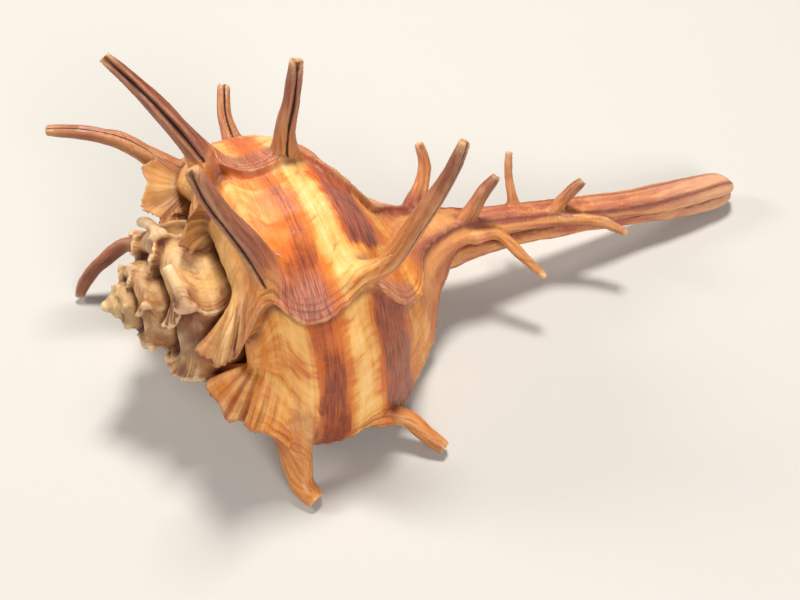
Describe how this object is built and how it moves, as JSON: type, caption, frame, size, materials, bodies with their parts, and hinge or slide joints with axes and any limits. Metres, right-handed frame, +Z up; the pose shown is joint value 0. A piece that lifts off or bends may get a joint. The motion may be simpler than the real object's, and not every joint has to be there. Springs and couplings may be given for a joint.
{
  "type": "murex shell",
  "caption": "Spiny sea snail shell with a long siphonal canal, open tubular horns on its old lips, a low coiled spire and an open aperture underneath.",
  "frame": {"origin": "bottom centre of the bounding box, on the surface that the shell lies on", "axes": "+X from the spire towards the tip of the siphonal canal, +Z up, with the aperture facing down"},
  "size_m": [0.1519, 0.0791, 0.07],
  "materials": {
    "shell": "satin orange-brown sea shell with darker brown spiral bands, fine spiral cords, mauve lips and pale horn tips"
  },
  "bodies": {
    "root": {"murex_shell": "shell"}
  },
  "joints": []
}
